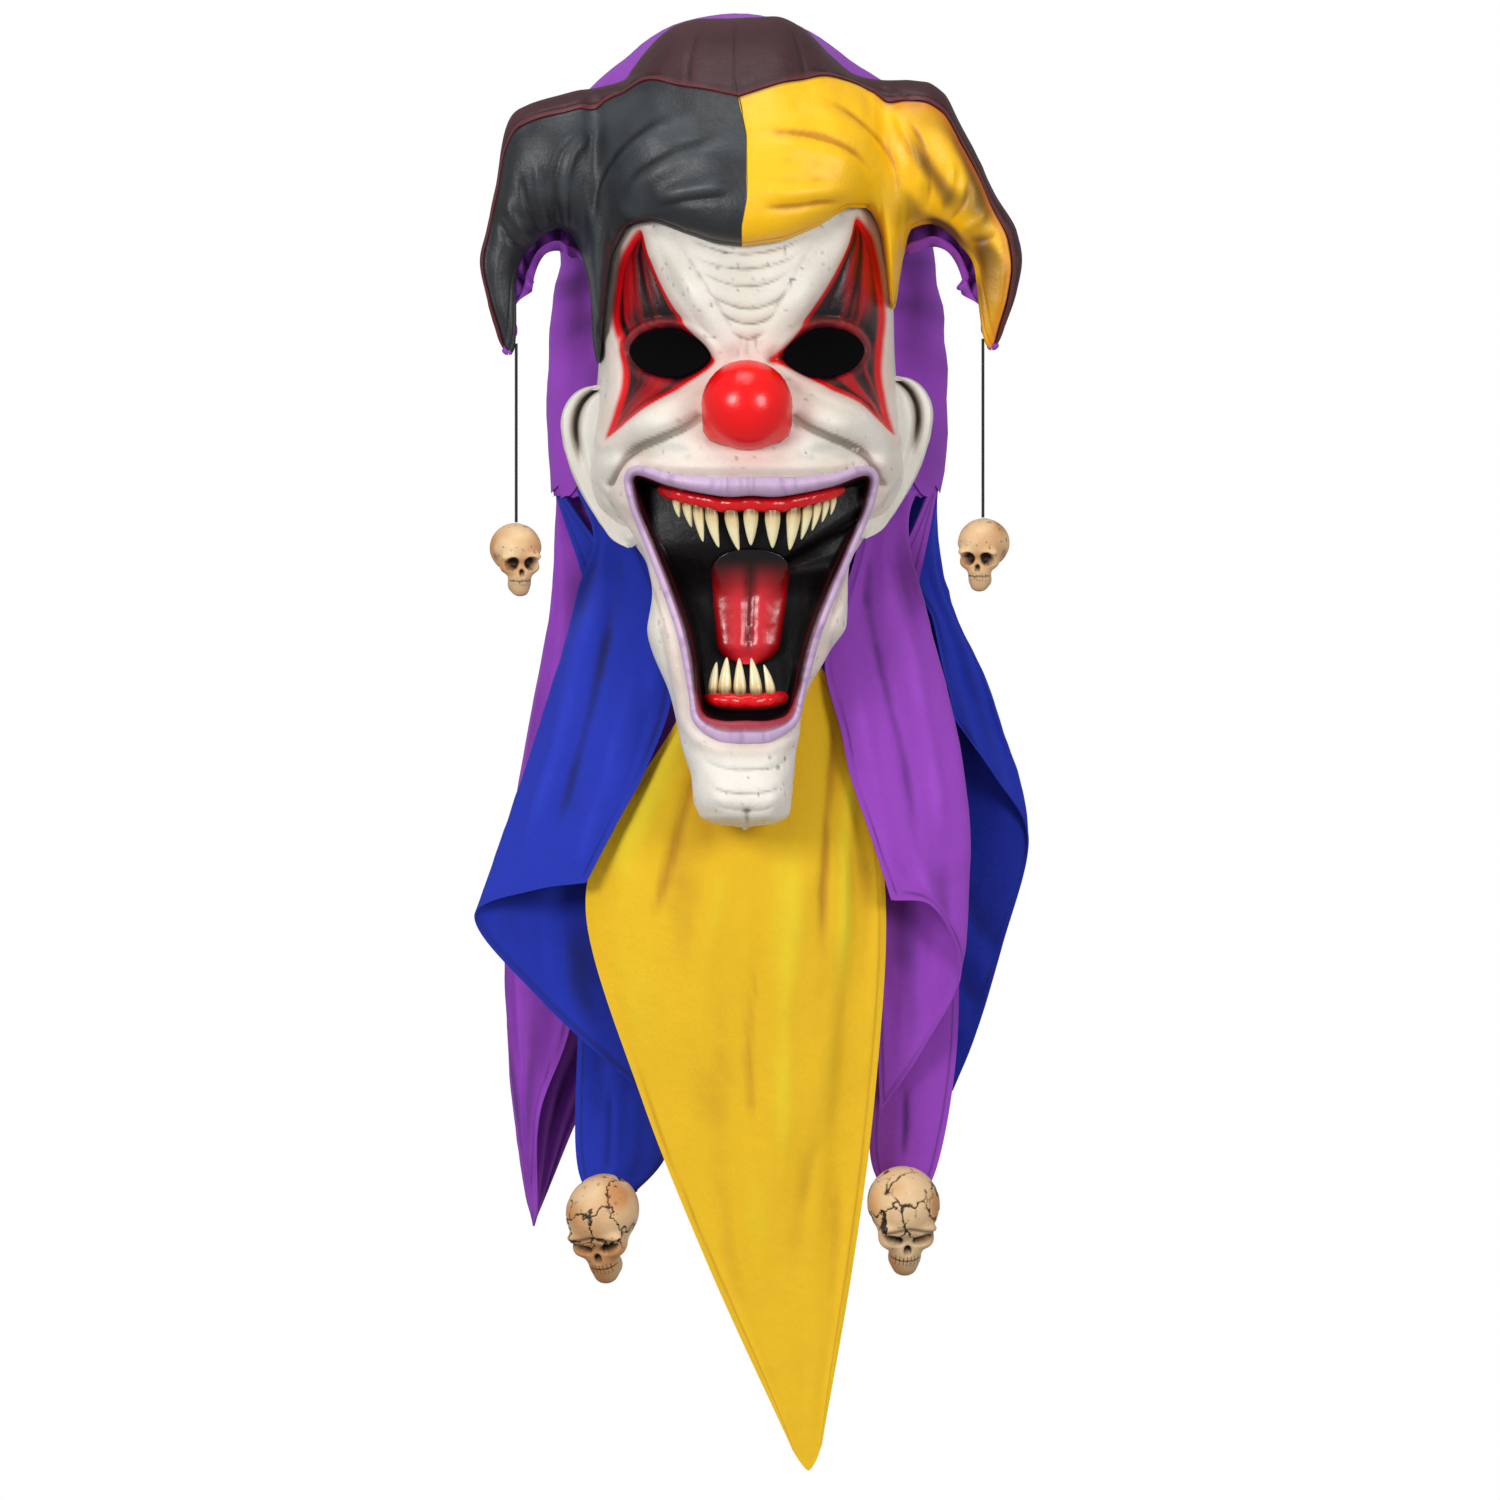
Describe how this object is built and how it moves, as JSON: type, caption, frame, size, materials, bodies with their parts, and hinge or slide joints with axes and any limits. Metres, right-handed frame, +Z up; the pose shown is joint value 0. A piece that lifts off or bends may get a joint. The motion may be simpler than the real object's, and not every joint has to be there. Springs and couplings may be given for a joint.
{
  "type": "jester mask",
  "caption": "Evil clown jester mask: open toothed mouth, ball nose, two-horned cap, purple hood, hanging cloth points and small skull pendants.",
  "frame": {"origin": "top of the wearer's head inside the crown, 115 mm above the eye holes, on the head's axis", "axes": "+Z up along the wearer's head, -Y out of the face, +X to the right as seen from the front"},
  "size_m": [0.3576, 0.2793, 0.9449],
  "materials": {
    "white_latex": "satin, brown wash in the wrinkles",
    "lilac_latex": "satin",
    "red_gloss": "wet gloss",
    "black_gloss": "gloss",
    "black_mesh": "matt",
    "ivory": "semi-gloss, brown at the roots",
    "charcoal_latex": "satin",
    "yellow_latex": "satin, dark smudges",
    "maroon_latex": "satin",
    "purple_cloth": "matt weave",
    "blue_cloth": "matt weave",
    "yellow_cloth": "matt weave",
    "black_cord": "twisted",
    "bone": "matt, brown wash in the cracks"
  },
  "bodies": {
    "root": {"face": "white_latex", "lips": "lilac_latex", "nose": "red_gloss", "eye_mesh_left": "black_mesh", "eye_mesh_right": "black_mesh", "mouth_lining": "black_gloss", "tongue": "red_gloss", "gum_upper": "red_gloss", "gum_lower": "red_gloss", "tooth_upper_1": "ivory", "tooth_upper_2": "ivory", "tooth_upper_3": "ivory", "tooth_upper_4": "ivory", "tooth_upper_5": "ivory", "tooth_upper_6": "ivory", "tooth_upper_7": "ivory", "tooth_upper_8": "ivory", "tooth_upper_9": "ivory", "tooth_upper_10": "ivory", "tooth_upper_11": "ivory", "tooth_upper_12": "ivory", "tooth_lower_1": "ivory", "tooth_lower_2": "ivory", "tooth_lower_3": "ivory", "tooth_lower_4": "ivory", "tooth_lower_5": "ivory", "cap_charcoal": "charcoal_latex", "cap_yellow": "yellow_latex", "cap_crown": "maroon_latex", "horn_lining_left": "purple_cloth", "horn_lining_right": "purple_cloth", "hood": "purple_cloth", "point_yellow": "yellow_cloth", "point_blue_left": "blue_cloth", "point_blue_tail": "blue_cloth", "point_purple_left": "purple_cloth", "point_purple_right": "purple_cloth", "point_purple_tail": "purple_cloth", "point_blue_right": "blue_cloth", "cord_left": "black_cord", "skull_small_left": "bone", "cord_right": "black_cord", "skull_small_right": "bone", "skull_large_left": "bone", "skull_large_right": "bone"}
  },
  "joints": []
}
